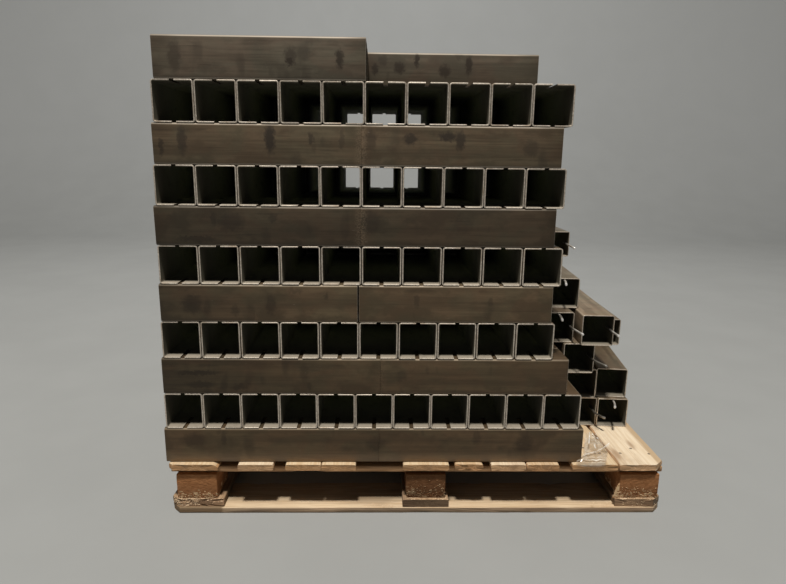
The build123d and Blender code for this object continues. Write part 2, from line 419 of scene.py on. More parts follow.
base_surfaces = {}
for seed, (place, cut, pale, ring, stain_amount, broken) in enumerate((
    ("left", -LOWER_CUT, (0.42, 0.26, 0.15), (0.27, 0.16, 0.09), 0.6, 0.012),
    ("middle", 0.0, (0.21, 0.135, 0.080), (0.13, 0.080, 0.045), 0.5, 0.002),
    ("right", LOWER_CUT, (0.46, 0.30, 0.17), (0.30, 0.18, 0.10), 0.7, 0.005),
), start=121):
    end_wood = wood_material("base_board_end_" + place, pale, ring, (0.12, 0.07, 0.04), stain_amount, 1.0)
    woods = (base_board_wood, end_wood, shaded_inner_board_wood)
    base_surfaces[place] = piece_surface(
        make_board("pallet_base_board_" + place, "Y", cut, woods, seed, (broken, 0.002), 14, 0.006)
    )


def make_splinters(counts):
    """Broken bits on the narrow ledge in front of the blocks, on the crushed front ends of the base boards
    and on the front floor board. counts gives, by base board, how many lie on the ledge, how many stick to
    the end, and the share of the end that they cover."""
    draw = random.Random(131)
    points, faces, coords = [], [], []

    def leave_at(spot, sizes):
        first = len(points)
        add_sliver(points, faces, spot, sizes, draw)
        coords.extend([(p[0] * 3 + draw.uniform(0, 0.02), p[1], p[2]) for p in points[first:]])

    for place, (on_ledge, on_end, share) in counts.items():
        low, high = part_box("pallet_base_board_" + place)
        for number in range(on_ledge + on_end):
            x = draw.uniform(low.x + 0.012, high.x - 0.003)
            if number < on_ledge:
                start, way = (x, low.y + draw.uniform(0.0, LEDGE_DEEP), high.z + 0.01), (0, 0, -1)
            else:
                x = low.x + 0.004 + (high.x - low.x) * share * draw.random()
                start, way = (x, low.y - 0.01, draw.uniform(low.z + 0.002, high.z)), (0, 1, 0)
            spot = landing(base_surfaces[place], start, way)
            if spot and spot.y <= low.y + 0.016:
                leave_at(spot, SPLINTER_SIZES)
    floor_surface = piece_surface(floor_boards["front"])
    floor_low, floor_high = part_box("pallet_floor_board_front")
    for start_x, end_x, count in FLOOR_LITTER:
        for _ in range(count):
            x, back = draw.uniform(start_x, end_x), 0.002 + abs(draw.gauss(0.0, 0.008))
            spot = landing(floor_surface, (x, floor_low.y + back, floor_high.z + 0.01), (0, 0, -1))
            if spot:
                leave_at(spot, LITTER_SIZES)
    piece = finish_mesh("base_board_splinters", points, faces, (splinter_wood,), {"board_coord": coords},
                        smooth_angle=20.0)
    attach(piece, "root")


make_splinters({"left": (170, 260, 0.5), "middle": (50, 0, 0.0), "right": (150, 16, 0.9)})

# Pallet blocks
# Nine blocks pressed from wood chips, red-brown, with a rough chipped surface that crumbles at the foot.
# They are nailed between the base boards and the stringers. Painted light lightens their upper parts against
# the deck's shadow, and painted shade darkens the six blocks behind the front row.

BLOCK_CUTS = 15
SKIN_DEPTH = 0.0006
COARSE_DEPTH = 0.0004
FINE_DEPTH = 0.0003
EDGE_DEPTH = 0.0006
CRUMBLE_DEPTH = 0.0032
EDGE_FROM = 0.86
FOOT_SHARE = 0.42
CRUMB_SIZES = ((0.0010, 0.0032), (0.0007, 0.0014), (0.0008, 0.0018))
CRUMB_TONE = 0.58
# Each block's tone, crumb count and crumb rise. The tones of the six blocks behind the front row are painted
# shade.
BLOCK_LOOKS = (
    (0.88, 170, 0.006), (0.35, 8, 0.010), (0.50, 8, 0.010),
    (0.37, 190, 0.016), (0.35, 8, 0.010), (0.50, 8, 0.010),
    (0.84, 210, 0.010), (0.35, 8, 0.010), (0.50, 8, 0.010),
)
TORN_BLOCK = 6
TORN_THICK = 0.0025
TORN_STRIP = (
    (-0.0125, 0.0), (-0.0095, 0.007), (-0.0070, 0.019), (-0.0030, 0.031), (0.0004, 0.037), (0.0010, 0.0),
)


def solids_of(node):
    """The separate solids of a CAD node, each as its points and its face normals, in order of place."""
    shape = bmesh.new()
    shape.from_mesh(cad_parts[node].data)
    bmesh.ops.remove_doubles(shape, verts=shape.verts, dist=1e-5)
    waiting = set(shape.verts)
    solids = []
    for first in shape.verts:
        if first not in waiting:
            continue
        waiting.discard(first)
        found, front = [first], [first]
        while front:
            for edge in front.pop().link_edges:
                for vert in edge.verts:
                    if vert in waiting:
                        waiting.discard(vert)
                        front.append(vert)
                        found.append(vert)
        normals = [face.normal.copy() for vert in found for face in vert.link_faces]
        solids.append(([vert.co.copy() for vert in found], normals))
    shape.free()
    solids.sort(key=lambda solid: tuple(round(x, 4) for x in sum(solid[0], Vector()) / len(solid[0])))
    return solids


def extent(points):
    """The low and the high corner of the box round some points."""
    return [Vector([end(p[k] for p in points) for k in range(3)]) for end in (min, max)]


def vector_calc(tree, operation, *terms):
    node = add_node(tree, "VectorMath", enumerate(terms), operation=operation)
    return node.outputs["Value" if operation == "LENGTH" else "Vector"]


def chip_group():
    """Pressed wood chips: short flakes in mixed browns, with pits between them."""
    group, given, out = shader_group("pressed_chips", ("Coord",), ("Deep", "Chip", "Fresh"),
                                     ("Fresh Amount",))
    bent = stretched_noise(group, given["Coord"], (40.0, 40.0, 40.0), 2.0)
    flat = scaled(group, given["Coord"], (150.0, 150.0, 330.0))
    flakes = cells(group, vector_calc(group, "MULTIPLY_ADD", bent, (3.0, 3.0, 3.0), flat))
    tone = add_node(group, "SeparateColor", {"Color": flakes["Color"]}).outputs
    color = mixed(group, tone[0], given["Deep"], given["Chip"])
    fresh = ramp_mask(group, calc(group, "MULTIPLY_ADD", given["Fresh Amount"], 0.75, tone[1]), 0.96, 1.2)
    feed(group, out["Color"], mixed(group, fresh, color, given["Fresh"]))
    feed(group, out["Roughness"], calc(group, "MULTIPLY_ADD", tone[2], 0.2, 0.7))
    feed(group, out["Height"], calc(group, "MULTIPLY_ADD", flakes["Distance"], -0.9, tone[2]))
    return group


block_material, tree, shader = new_material("pressed_chip_block", 0.0, 0.85, 0.2)
chips = place_group(tree, chip_group(), {
    "Coord": stored(tree, "board_coord", "Vector"), "Fresh Amount": stored(tree, "foot_wear"),
    "Deep": (0.30, 0.134, 0.055), "Chip": (0.40, 0.190, 0.086), "Fresh": (0.80, 0.58, 0.36),
})
color = mixed(tree, 1.0, chips["Color"], stored(tree, "block_tone_and_shade"), "MULTIPLY")
# Painted light: the blocks are lightened higher up and darkened low down, to offset the deck's shadow on them.
above = ramp_mask(tree, parts_of(tree, object_coord(tree))["Z"], 0.040, 0.086)
painted_light_above = mixed(tree, above, (0.84, 0.81, 0.76), (1.14, 1.08, 0.95))
color = mixed(tree, 1.0, color, painted_light_above, "MULTIPLY")
finish_material(tree, shader, color, chips["Height"], 0.45, 0.0015, chips["Roughness"])


def add_torn_strip(points, faces, corner):
    """A pale strip, torn off a block's front left edge and still standing at that edge's foot, the corner."""
    base = len(points)
    count = len(TORN_STRIP)
    for back in (-0.0004, TORN_THICK):
        for across, up in TORN_STRIP:
            points.append((corner.x + across, corner.y + back, corner.z + up))
    faces += [tuple(range(base, base + count)), tuple(reversed(range(base + count, base + 2 * count)))]
    faces += ring_faces(base, 2, count)


def make_blocks(node):
    points, faces, coords, wear, tones = [], [], [], [], []
    for number, (corners, _) in enumerate(solids_of(node)):
        block_tone_and_shade, crumb_count, crumb_rise = BLOCK_LOOKS[number]
        low, high = extent(corners)
        draw = random.Random(300 + number)
        offset = grain_start(draw, 9)

        def store_from(start, worn, tone):
            coords.extend([tuple(Vector(p) + offset) for p in points[start:]])
            wear.extend([worn] * (len(points) - start))
            tones.extend([tone] * (len(points) - start))

        shape = bmesh.new()
        bmesh.ops.create_cube(shape, size=1.0)
        bmesh.ops.subdivide_edges(shape, edges=shape.edges, cuts=BLOCK_CUTS, use_grid_fill=True)
        base = len(points)
        shape.verts.ensure_lookup_table()
        for vert in shape.verts:
            part = vert.co * 2
            place = vert.co * (high - low)
            corner = max(0.0, sorted(abs(x) for x in part)[1] - EDGE_FROM) / (1 - EDGE_FROM)
            foot_near = max(0.0, 1 - (vert.co.z + 0.5) / FOOT_SHARE)
            coarse = noise.fractal(place * 55 + offset, 0.9, 2.0, 3)
            fine = noise.noise(place * 260 + offset)
            crumbled = max(0.0, noise.noise(place * 38 + offset * 2) + 0.1) * foot_near
            depth = (SKIN_DEPTH + COARSE_DEPTH * coarse + FINE_DEPTH * fine + EDGE_DEPTH * corner
                     + CRUMBLE_DEPTH * crumbled)
            place -= Vector((part.x ** 9, part.y ** 9, 0.0)) * max(0.0, depth)
            points.append(tuple((low + high) / 2 + place))
            coords.append(tuple(place + offset))
            rubbed = foot_near * 1.3 * (0.5 + 0.8 * noise.noise(place * 90 + offset))
            rubbed += 0.3 * corner * max(0.0, fine)
            wear.append(max(0.0, min(1.0, rubbed)))
            tones.append(block_tone_and_shade)
        own_faces = [tuple(vert.index for vert in face.verts) for face in shape.faces]
        faces += [tuple(base + i for i in face) for face in own_faces]
        shape.free()
        surface = surface_of(points[base:], own_faces)
        for _ in range(crumb_count):
            up = 0.001 + min(abs(draw.gauss(0.0, crumb_rise)), 0.05)
            x = draw.uniform(low.x + 0.002, high.x - 0.002)
            spot = landing(surface, (x, low.y - 0.01, low.z + up), (0, 1, 0))
            if spot:
                start = len(points)
                add_sliver(points, faces, spot, CRUMB_SIZES, draw)
                store_from(start, 0.75, max(CRUMB_TONE, block_tone_and_shade) * draw.uniform(0.75, 1.15))
        if number == TORN_BLOCK:
            start = len(points)
            add_torn_strip(points, faces, low)
            store_from(start, 1.0, 0.95)
    piece = finish_mesh("pallet_blocks_pressed", points, faces, (block_material,),
                        {"board_coord": coords, "foot_wear": wear, "block_tone_and_shade": tones}, smooth_angle=50.0)
    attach(piece, "root")
    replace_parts(piece, node)


make_blocks("pallet_blocks")

# Pallet stringers
# Three thin sawn boards from left to right on the blocks. They stand back from the deck's edge, and show as
# darker brown strips in the gaps between the deck boards.

stringer_wood = wood_material(
    "stringer_wood", (0.52, 0.32, 0.17), (0.38, 0.21, 0.10), (0.20, 0.12, 0.06), 0.5
)
stringer_end = wood_material(
    "stringer_end", (0.50, 0.33, 0.18), (0.34, 0.20, 0.10), (0.18, 0.11, 0.06), 0.5
)
woods = (stringer_wood, stringer_end, stringer_wood)
for seed, place in enumerate(("front", "middle", "back"), start=141):
    make_board("pallet_stringer_" + place, "X", 0.0, woods, seed, (0.001, 0.001))

# Pallet deck boards
# Ten sawn softwood boards of mixed widths from front to back. Their tops are pale and clean where they were
# covered, their sawn front ends are rough and brown. The outer corners of the first and last are sawn off.

DECK_COUNT = 10
DECK_SEED = 160
BROWN_EDGE_X = 0.536
brown_edge = (BROWN_EDGE_X, BROWN_EDGE_X + 0.008, 0.75, (0.42, 0.28, 0.15))
deck_cuts = {1: -0.011, DECK_COUNT: 0.024}
deck_tone_of = (0, 1, 0, 0, 0, 2, 1, 2, 0, 3)
deck_wear = {1: (0.003, 14, 0.004), 6: (0.006, 12, 0.004), 9: (0.003, 10, 0.004), 10: (0.003, 12, 0.004)}
deck_woods = []
for number, (pale, ring, stain_amount, wear_and_shade_strip) in enumerate((
    ((0.74, 0.59, 0.40), (0.62, 0.45, 0.27), 0.40, None),
    ((0.80, 0.67, 0.49), (0.70, 0.55, 0.38), 0.55, None),
    ((0.70, 0.53, 0.35), (0.55, 0.38, 0.22), 0.50, None),
    ((0.86, 0.73, 0.55), (0.74, 0.59, 0.41), 0.70, brown_edge),
), start=1):
    top = wood_material("deck_top_%d" % number, pale, ring, (0.38, 0.25, 0.15), stain_amount, 0.8,
                        wear_and_shade_strip=wear_and_shade_strip)
    end_pale = (pale[0] * 0.88, pale[1] * 0.68, pale[2] * 0.52)
    end_ring = (ring[0] * 0.74, ring[1] * 0.56, ring[2] * 0.42)
    end = wood_material("deck_end_%d" % number, end_pale, end_ring, (0.20, 0.12, 0.07), 0.6, 1.0)
    deck_woods.append((top, end, end))
for number, tone in enumerate(deck_tone_of, start=1):
    broken, chip_count, chip_depth = deck_wear.get(number, (0.002, 7, 0.0035))
    make_board("pallet_deck_board_%02d" % number, "Y", deck_cuts.get(number, 0.0), deck_woods[tone],
               DECK_SEED + number, (broken, 0.002), chip_count, chip_depth)

# Pallet nails
# Flat steel nail heads, driven a little below the wood, two or three at each crossing of a deck board with a
# stringer.

NAIL_R = 0.0032
NAIL_SIDES = 10
NAIL_RINGS = ((1.0, -0.0010), (1.0, 0.00005), (0.86, 0.0003), (0.3, 0.00015))
NARROW_BOARD = 0.09
nail_metal, tree, shader = new_material("nail_head_metal", 0.7, 0.45)
spots = stretched_noise(tree, object_coord(tree), (400.0, 400.0, 400.0), 3.0)
rusted = mixed(tree, ramp_mask(tree, spots, 0.4, 0.65), (0.34, 0.27, 0.20), (0.20, 0.13, 0.08))
feed(tree, shader.inputs["Base Color"], rusted)


def circle(sides):
    """The cosine and the sine of each point's angle round a circle."""
    return [(math.cos(2 * math.pi * i / sides), math.sin(2 * math.pi * i / sides)) for i in range(sides)]


def make_nails():
    draw = random.Random(77)
    points, faces = [], []
    for number in range(1, DECK_COUNT + 1):
        low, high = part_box("pallet_deck_board_%02d" % number)
        shares = (0.28, 0.72) if high.x - low.x < NARROW_BOARD else (0.2, 0.5, 0.8)
        for place in ("front", "middle", "back"):
            strip_low, strip_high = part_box("pallet_stringer_" + place)
            for k, share in enumerate(shares):
                x = low.x + (high.x - low.x) * share + draw.uniform(-0.004, 0.004)
                y = strip_low.y + (strip_high.y - strip_low.y) * (0.35 + 0.3 * (k % 2))
                y += draw.uniform(-0.006, 0.006)
                base = len(points)
                for share_of_r, lift in NAIL_RINGS:
                    r = NAIL_R * share_of_r
                    points += [(x + r * right, y + r * back, high.z + lift)
                               for right, back in circle(NAIL_SIDES)]
                faces += ring_faces(base, len(NAIL_RINGS), NAIL_SIDES)
                faces.append(tuple(range(len(points) - NAIL_SIDES, len(points))))
                faces.append(tuple(reversed(range(base, base + NAIL_SIDES))))
    piece = finish_mesh("deck_nail_heads", points, faces, (nail_metal,), {})
    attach(piece, "root")


make_nails()

# Stack of square tubes
# Eleven layers of cold-formed square steel tube with dark mill scale, laid crosswise by hand. Each is cut
# to length with a saw, which leaves a bright burred edge, and the tubes that run to the back are slotted.

WALL = 0.0027
OUTER_R = 0.0052
INNER_R = 0.0025
SLOT_HALF = 0.0045
SLOT_LONG = 0.052
EDGE_BEVEL = 0.0004
ARC_STEPS = 4
TUBE_WIDE = 0.081
TUBE_HIGH = 0.080
END_TRIM = 0.0012
END_SKEW = 0.004
SIDE_SHIFT = 0.0003
BURR = 0.00022
DIM_FROM_X = -0.20
DIM_OVER = 0.30
LAYERS = 11
JOINT_FILL = 0.0009


def tube_loop(wide, high, radius):
    """Points round a square section with round corners: (across, up, rub). Two points on the top and two on
    the bottom mark the slot, at the indexes TOP_SLOT and BOTTOM_SLOT. wide and high are half sizes."""
    points = [(SLOT_HALF, -high, 0.0)]
    x, z = wide - radius, high - radius
    for quarter, (cx, cz) in enumerate(((x, -z), (x, z), (-x, z), (-x, -z))):
        if quarter == 2:
            points += [(SLOT_HALF, high, 0.0), (-SLOT_HALF, high, 0.0)]
        for k in range(ARC_STEPS + 1):
            angle = math.radians(-90 + 90 * quarter + 90 * k / ARC_STEPS)
            # How near a point is to the middle of a rounded corner, for worn edges and a painted highlight.
            rub_and_highlight = math.sin(math.pi * k / ARC_STEPS)
            points.append((cx + radius * math.cos(angle), cz + radius * math.sin(angle), rub_and_highlight))
    points.append((-SLOT_HALF, -high, 0.0))
    return points


LOOP = len(tube_loop(1.0, 1.0, 0.1))
TOP_SLOT = 2 * (ARC_STEPS + 1) + 1
BOTTOM_SLOT = LOOP - 1
LAST_RING = 13
TUBE_VALUES = ("tube_coord", "tube_place", "edge_rub_and_highlight", "tube_tone", "tube_spatter")


class TubeSet:
    """Collects tubes into one mesh. tone and dim_left, which is how much its left end is darker, say how dark
    the steel is. Its material slots are the outside, the bore, the sawn end and the sides of the slots."""

    def __init__(self, tone=1.0, dim_left=0.0, wall=WALL):
        self.points = []
        self.faces = []
        self.slots = []
        self.values = {label: [] for label in TUBE_VALUES}
        self.tone = tone
        self.dim_left = dim_left
        self.wall = wall

    def add(self, centre, axis, length, sides, seed, slotted=(False, False), grow=(0.0, 0.0),
            spatter=(0.0, 0.0)):
        """One tube, sides wide and high. grow lengthens its start and end, where it stands against the next
        tube, and spatter says how much dust is on them. Its rings of points are numbered 0 to 6 along the
        outside, and 7 to 13 back along the bore."""
        draw = random.Random(seed)
        tone = self.tone * draw.uniform(0.93, 1.07)
        offset = grain_start(draw, 60)
        side = Vector((-axis.y, axis.x, 0.0))
        wide, high = sides[0] / 2, sides[1] / 2
        trims = [-grown if grown else draw.uniform(0.0, END_TRIM) for grown in grow]
        skews = [draw.uniform(-END_SKEW, END_SKEW) * (0.0 if grown else 1.0)
                 for grown in grow for _ in range(2)]
        shift = draw.uniform(-SIDE_SHIFT, SIDE_SHIFT)
        inside = self.wall - EDGE_BEVEL
        outer = tube_loop(wide, high, OUTER_R)
        inner = tube_loop(wide - self.wall, high - self.wall, INNER_R)
        outer_end = tube_loop(wide - EDGE_BEVEL, high - EDGE_BEVEL, OUTER_R - EDGE_BEVEL)
        inner_end = tube_loop(wide - inside, high - inside, INNER_R + EDGE_BEVEL)
        stops = [0.0, EDGE_BEVEL, SLOT_LONG, length / 2, length - SLOT_LONG, length - EDGE_BEVEL, length]
        loops = [(outer_end if k in (0, 6) else outer, k, 1) for k in range(7)]
        loops += [(inner_end if k in (0, 6) else inner, k, 0) for k in range(6, -1, -1)]
        self.base = len(self.points)
        for loop, k, outside in loops:
            dust = spatter[0] if k <= 2 else spatter[1] if k >= 4 else 0.0
            for across, up, rub_and_highlight in loop:
                along = stops[k]
                if k <= 1:
                    along += trims[0] + skews[0] * across + skews[1] * up
                if k >= 5:
                    along -= trims[1] + skews[2] * across + skews[3] * up
                if k in (0, 6):
                    along += BURR * noise.noise(Vector((across * 700, up * 700, seed * 0.71 + k)))
                point = centre + axis * (along - length / 2) + side * (across + shift)
                point.z += up
                dimmed = self.dim_left * max(0.0, min(1.0, (DIM_FROM_X - point.x) / DIM_OVER))
                self.points.append(tuple(point))
                coord = tuple(Vector((along, across, up)) + offset)
                place = (min(stops[k], length - stops[k]), across, up)
                here = (coord, place, rub_and_highlight if outside else 0.0, tone * (1 - dimmed), dust)
                for label, value in zip(TUBE_VALUES, here):
                    self.values[label].append(value)
        rings = len(loops)
        for k in range(rings):
            n = (k + 1) % rings
            slot = 2 if k in (0, 5, 6, 7, 12, 13) else 0 if k < 6 else 1
            if (grow[0] and k == 0) or (grow[1] and k == 5):
                slot = 0
            open_here = (slotted[0] and k in (0, 1, 11, 12, 13)) or (slotted[1] and k in (4, 5, 6, 7, 8))
            for i in range(LOOP):
                if open_here and i in (TOP_SLOT, BOTTOM_SLOT):
                    continue
                j = (i + 1) % LOOP
                self.add_face(slot, (k, i), (k, j), (n, j), (n, i))
        for wanted, outs in zip(slotted, ((0, 1, 2), (6, 5, 4))):
            if wanted:
                for i in (TOP_SLOT, BOTTOM_SLOT):
                    self.add_slot_sides(i, outs)

    def add_face(self, slot, *corners):
        """A face of the last tube; each corner is the number of its ring and of its point on it."""
        self.faces.append(tuple(self.base + ring * LOOP + i for ring, i in corners))
        self.slots.append(slot)

    def add_slot_sides(self, i, outs):
        """The cut sides and the end of a slot, at the points i and i + 1 of the outer rings outs. Ring a of
        the outside stands over ring LAST_RING - a of the bore."""
        j = (i + 1) % LOOP
        for edge in (i, j):
            for a, b in zip(outs[:-1], outs[1:]):
                self.add_face(3, (a, edge), (b, edge), (LAST_RING - b, edge), (LAST_RING - a, edge))
        a = outs[-1]
        self.add_face(3, (a, i), (a, j), (LAST_RING - a, j), (LAST_RING - a, i))

    def piece(self, name, materials):
        made = finish_mesh(name, self.points, self.faces, materials, self.values, self.slots, 50.0)
        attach(made, "root")
        return made


def soft_marks(tree, coord, scale, near, far, share, strength):
    """Soft roundish marks of some strength, one in a share of the cells of the given scale."""
    flat = scaled(tree, coord, scale)
    bend = add_node(tree, "TexNoise", {"Vector": flat, "Scale": 1.3, "Detail": 3.0}).outputs["Color"]
    cell = cells(tree, vector_calc(tree, "MULTIPLY_ADD", bend, (0.7, 0.7, 0.7), flat))
    pick = add_node(tree, "SeparateColor", {"Color": cell["Color"]}).outputs[0]
    chosen = ramp_mask(tree, pick, 1.0 - share, 1.0 - share * 0.6)
    return calc(tree, "MULTIPLY", ramp_mask(tree, cell["Distance"], far, near, strength), chosen)


def scale_group():
    """Mill scale on a cold-formed tube: lengthwise streaks, paler rolled bands, smudges and scratches, with
    painted shade along the bottom of each tube and a painted highlight on its rounded edges.
    """
    group, given, out = shader_group("mill_scale", ("Coord", "Place"),
                                     ("Light", "Dark", "Smudge", "Bare", "Dust"),
                                     ("Rub And Highlight", "Tone", "Spatter", "Marks"))
    coord = given["Coord"]
    dark, light, smudge, bare = (given[label] for label in ("Dark", "Light", "Smudge", "Bare"))
    broad = stretched_noise(group, coord, (1.5, 46.0, 46.0), 4.0, 0.5)
    fine = stretched_noise(group, coord, (7.0, 260.0, 260.0), 4.0, 0.65)
    lines = stretched_noise(group, coord, (11.0, 190.0, 190.0), 2.0, 0.5)
    cloud = stretched_noise(group, coord, (9.0, 16.0, 16.0), 5.0, 0.6)
    tint = stretched_noise(group, coord, (13.0, 20.0, 20.0), 3.0, 0.55, 0.6)
    grit = stretched_noise(group, coord, (420.0, 420.0, 420.0), 2.0, 0.6)
    scratch = stretched_noise(group, coord, (45.0, 900.0, 300.0), 2.0, 0.5, 0.8)
    streak = calc(group, "MULTIPLY_ADD", fine, 0.24, calc(group, "MULTIPLY", broad, 0.38))
    streak = calc(group, "MULTIPLY_ADD", cloud, 0.38, streak)
    color = mixed(group, ramp_mask(group, streak, 0.38, 0.62), dark, light)

    place = parts_of(group, given["Place"])
    over = calc(group, "MINIMUM", calc(group, "ABSOLUTE", place["Y"]), calc(group, "ABSOLUTE", place["Z"]))
    band = calc(group, "SUBTRACT", ramp_mask(group, over, 0.018, 0.025), ramp_mask(group, over, 0.027, 0.034))
    band = calc(group, "MULTIPLY", band, ramp_mask(group, cloud, 0.38, 0.58, 0.8))
    color = mixed(group, band, color, light)
    # Painted shade along the bottom of each tube, where it rests on the layer below, joined with worn patches
    # of scale.
    low = ramp_mask(group, place["Z"], -0.027, -0.037)
    low = calc(group, "MULTIPLY", low, ramp_mask(group, broad, 0.40, 0.60, 0.75))
    worn = calc(group, "MAXIMUM", ramp_mask(group, cloud, 0.46, 0.62, 0.85), low)
    color = mixed(group, worn, color, dark)
    color = mixed(group, ramp_mask(group, lines, 0.62, 0.72, 0.30), color, smudge)
    warm = mixed(group, ramp_mask(group, tint, 0.38, 0.62), (1.09, 0.985, 0.93), (0.99, 1.00, 0.95))
    color = mixed(group, 1.0, color, warm, "MULTIPLY")

    hand = soft_marks(group, coord, (24.0, 11.0, 11.0), 0.16, 0.40, 0.34, 0.42)
    thumb = soft_marks(group, coord, (52.0, 24.0, 24.0), 0.10, 0.36, 0.20, 0.30)
    touched = calc(group, "MAXIMUM", calc(group, "MAXIMUM", hand, thumb), given["Marks"])
    color = mixed(group, touched, color, smudge)
    color = mixed(group, ramp_mask(group, scratch, 0.75, 0.83, 0.35), color, bare)
    spots = ramp_mask(group, cloud, 0.42, 0.30, 0.45)
    spots = calc(group, "MULTIPLY", ramp_mask(group, grit, 0.66, 0.74), spots)
    color = mixed(group, spots, color, bare)
    near_end = calc(group, "MULTIPLY", ramp_mask(group, place["X"], 0.017, 0.001), given["Spatter"])
    dust_and_painted_light = calc(group, "MULTIPLY", near_end, ramp_mask(group, grit, 0.40, 0.62))
    color = mixed(group, dust_and_painted_light, color, given["Dust"])
    # Worn bare metal and a painted highlight along the tubes' rounded edges.
    rubbed = calc(group, "MULTIPLY", ramp_mask(group, given["Rub And Highlight"], 0.35, 1.0),
                  calc(group, "MULTIPLY_ADD", fine, 0.9, 0.10))
    color = mixed(group, rubbed, color, bare)
    feed(group, out["Color"], mixed(group, 1.0, color, given["Tone"], "MULTIPLY"))

    rough = calc(group, "MULTIPLY_ADD", rubbed, 0.16, calc(group, "MULTIPLY_ADD", streak, 0.24, 0.40))
    feed(group, out["Roughness"], calc(group, "MULTIPLY_ADD", touched, 0.15, rough))
    feed(group, out["Height"], calc(group, "ADD", fine, broad))
    return group


def hand_mark_group():
    """One dark mark of a hand or a glove: a soft oval about a place."""
    group, given, out = shader_group("hand_mark", ("Coord", "Centre", "Per Reach"), (), ("Strength",),
                                     ("Mask",))
    away = vector_calc(group, "SUBTRACT", given["Coord"], given["Centre"])
    far = vector_calc(group, "LENGTH", vector_calc(group, "MULTIPLY", away, given["Per Reach"]))
    feed(group, out["Mask"], calc(group, "MULTIPLY", ramp_mask(group, far, 1.25, 0.50), given["Strength"]))
    return group


mill_scale = scale_group()
hand_mark = hand_mark_group()
MARK_DEPTH = 0.04
MARK_STRENGTH = 1.25
MARK_BEND = (0.020, 0.0, 0.026)
FRONT_Y = -0.537
SET_BACK_Y = -0.374
HAND_MARKS = {
    FRONT_Y: (
        (-0.480, 0.958, 0.013, 0.034, 0.45), (-0.261, 0.961, 0.012, 0.017, 0.55),
        (-0.262, 0.951, 0.009, 0.009, 0.80), (-0.168, 0.957, 0.009, 0.019, 0.75),
        (-0.517, 0.790, 0.006, 0.016, 0.60), (-0.476, 0.805, 0.010, 0.029, 0.60),
        (-0.305, 0.808, 0.011, 0.030, 0.80), (-0.225, 0.808, 0.007, 0.012, 0.60),
        (-0.165, 0.808, 0.005, 0.022, 0.35), (-0.108, 0.808, 0.013, 0.022, 0.45),
        (-0.030, 0.810, 0.015, 0.012, 0.70), (0.042, 0.816, 0.019, 0.010, 0.80),
        (0.068, 0.808, 0.010, 0.021, 0.70), (0.208, 0.795, 0.017, 0.017, 0.45),
        (-0.387, 0.646, 0.028, 0.022, 0.45), (-0.424, 0.652, 0.007, 0.018, 0.35),
        (-0.459, 0.611, 0.046, 0.007, 0.45), (-0.303, 0.653, 0.010, 0.010, 0.40),
        (-0.107, 0.646, 0.020, 0.026, 0.40), (0.078, 0.646, 0.024, 0.020, 0.25),
        (-0.476, 0.475, 0.024, 0.022, 0.50), (-0.389, 0.463, 0.009, 0.013, 0.35),
        (-0.315, 0.475, 0.012, 0.024, 0.45), (-0.262, 0.504, 0.015, 0.006, 0.30),
        (-0.199, 0.494, 0.006, 0.006, 0.45), (-0.012, 0.485, 0.006, 0.016, 0.35),
        (0.142, 0.482, 0.007, 0.013, 0.35), (-0.475, 0.325, 0.050, 0.005, 0.50),
        (-0.470, 0.299, 0.033, 0.009, 0.40), (-0.384, 0.293, 0.022, 0.007, 0.35),
        (-0.249, 0.325, 0.009, 0.024, 0.25), (-0.042, 0.319, 0.014, 0.013, 0.30),
        (-0.492, 0.169, 0.028, 0.018, 0.40), (-0.427, 0.176, 0.007, 0.020, 0.40),
        (-0.097, 0.161, 0.022, 0.018, 0.35), (0.126, 0.176, 0.011, 0.018, 0.35),
        (0.230, 0.161, 0.022, 0.024, 0.40),
    ),
    SET_BACK_Y: (
        (-0.103, 0.962, 0.008, 0.014, 0.70), (-0.085, 0.980, 0.013, 0.013, 0.45),
        (-0.049, 0.966, 0.013, 0.013, 0.75), (-0.012, 0.981, 0.006, 0.016, 0.80),
        (0.049, 0.960, 0.014, 0.014, 0.75), (0.101, 0.973, 0.009, 0.022, 0.80),
    ),
}


def marked_by_hand(tree):
    """How much a place is darkened by the hand marks, whose edges are uneven. A mark gives its middle's x
    and z, its half width and half height, and its strength."""
    coord = object_coord(tree)
    ragged = add_node(tree, "TexNoise", {"Vector": coord, "Scale": 110.0, "Detail": 5.0, "Roughness": 0.65})
    bent = vector_calc(tree, "MULTIPLY_ADD", ragged.outputs["Color"], MARK_BEND, coord)
    marked = 0.0
    for y, marks in HAND_MARKS.items():
        for x, z, wide, tall, strength in marks:
            mark = place_group(tree, hand_mark, {
                "Coord": bent, "Centre": (x + MARK_BEND[0] / 2, y, z + MARK_BEND[2] / 2),
                "Per Reach": (1 / wide, 1 / MARK_DEPTH, 1 / tall), "Strength": strength * MARK_STRENGTH,
            })
            marked = calc(tree, "MAXIMUM", marked, mark["Mask"])
    return marked


